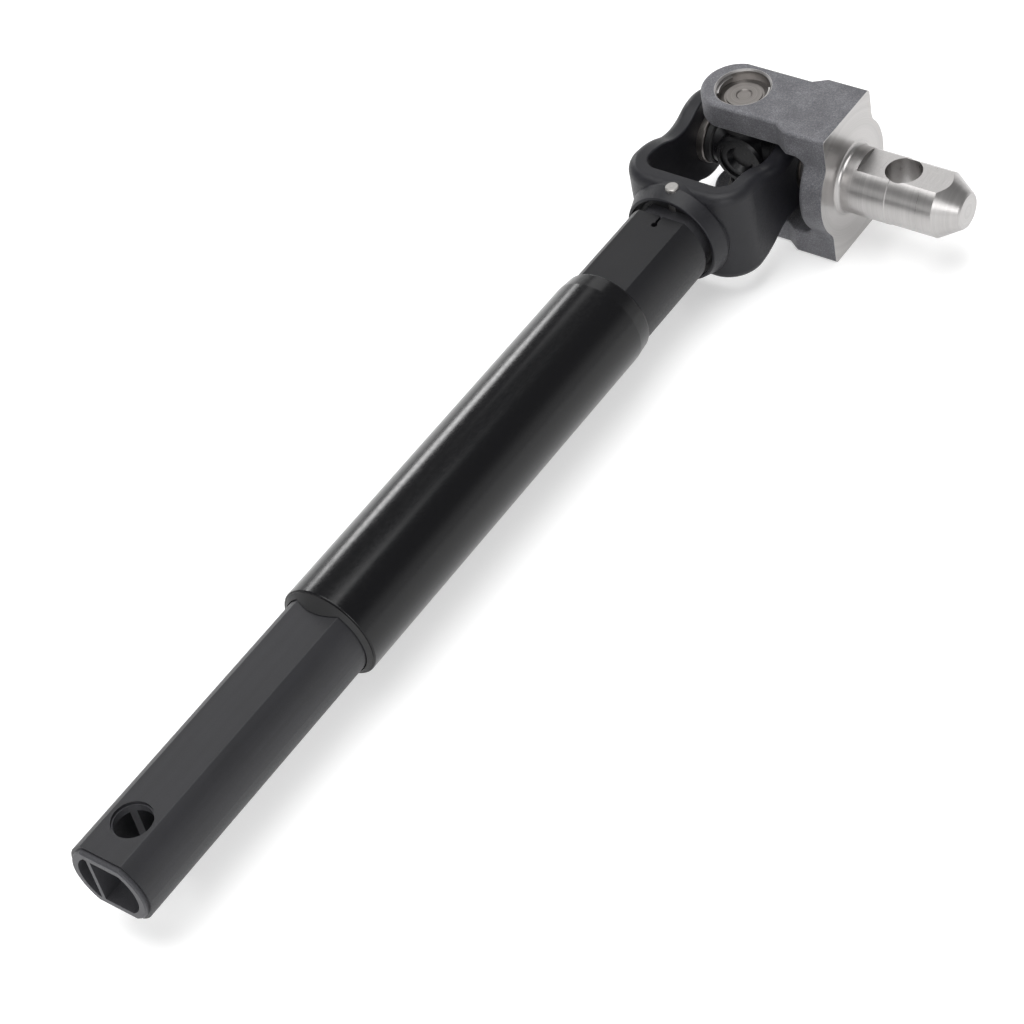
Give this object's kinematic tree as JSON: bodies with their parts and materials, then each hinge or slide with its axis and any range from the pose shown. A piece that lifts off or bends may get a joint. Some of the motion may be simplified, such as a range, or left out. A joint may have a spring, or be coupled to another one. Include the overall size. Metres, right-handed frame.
{
  "type": "intermediate steering shaft",
  "caption": "Telescoping double-D steering intermediate shaft with a round barrel and a needle-bearing universal joint whose stub yoke is bent square to the tube.",
  "frame": {"origin": "on the shaft's axis, where the axis of the clamp-bolt hole crosses it", "axes": "+X along the tube towards the universal joint, +Z along the clamp-bolt hole out of the top flat, +Y to the left; the stub points along -Y at rest"},
  "size_m": [0.3219, 0.0932, 0.0458],
  "materials": {
    "shaft_steel": "drawn steel",
    "shaft_jacket": "moulded nylon, satin",
    "barrel_enamel": "gloss black enamel on steel tube",
    "guide_nylon": "moulded nylon",
    "seal_rubber": "moulded rubber, matte",
    "neck_coating": "satin electrocoat on steel tube",
    "pin_steel": "bright ground steel",
    "yoke_coating": "satin electrocoat on pressed steel",
    "cross_steel": "forged and oil-blacked steel",
    "joint_seal": "moulded rubber",
    "bearing_steel": "drawn bearing steel",
    "forged_steel": "forged, shot-blasted and machined steel"
  },
  "bodies": {
    "outer_shaft": {"barrel_tube": "barrel_enamel", "guide_bush": "guide_nylon", "mouth_seal": "seal_rubber", "neck_tube": "neck_coating", "coupling_core": "shaft_steel", "coupling_rubber": "seal_rubber", "lock_pin": "pin_steel", "tube_yoke": "yoke_coating", "bearing_cup_right": "bearing_steel", "bearing_cup_left": "bearing_steel", "needle_rollers_right": "bearing_steel", "needle_rollers_left": "bearing_steel"},
    "slip_shaft": {"slip_shaft_core": "shaft_steel", "slip_shaft_jacket": "shaft_jacket"},
    "cross": {"cross_spider": "cross_steel", "trunnion_seal_top": "joint_seal", "trunnion_seal_right": "joint_seal", "trunnion_seal_bottom": "joint_seal", "trunnion_seal_left": "joint_seal"},
    "stub_fork": {"stub_yoke": "forged_steel", "bearing_cup_top": "bearing_steel", "bearing_cup_bottom": "bearing_steel", "needle_rollers_top": "bearing_steel", "needle_rollers_bottom": "bearing_steel"}
  },
  "joints": [
    {"name": "shaft_slide", "type": "slide", "parent": "outer_shaft", "child": "slip_shaft", "axis": [1, 0, 0], "range_m": [-0.03, 0.035]},
    {"name": "tube_yoke_hinge", "type": "hinge", "parent": "outer_shaft", "child": "cross", "pos_m": [0.2901, 0, 0], "axis": [0, 1, 0], "range_deg": [-10, 10]},
    {"name": "stub_yoke_hinge", "type": "hinge", "parent": "cross", "child": "stub_fork", "pos_m": [0.2901, 0, 0], "axis": [0, 0, 1], "range_deg": [0, 180]}
  ]
}
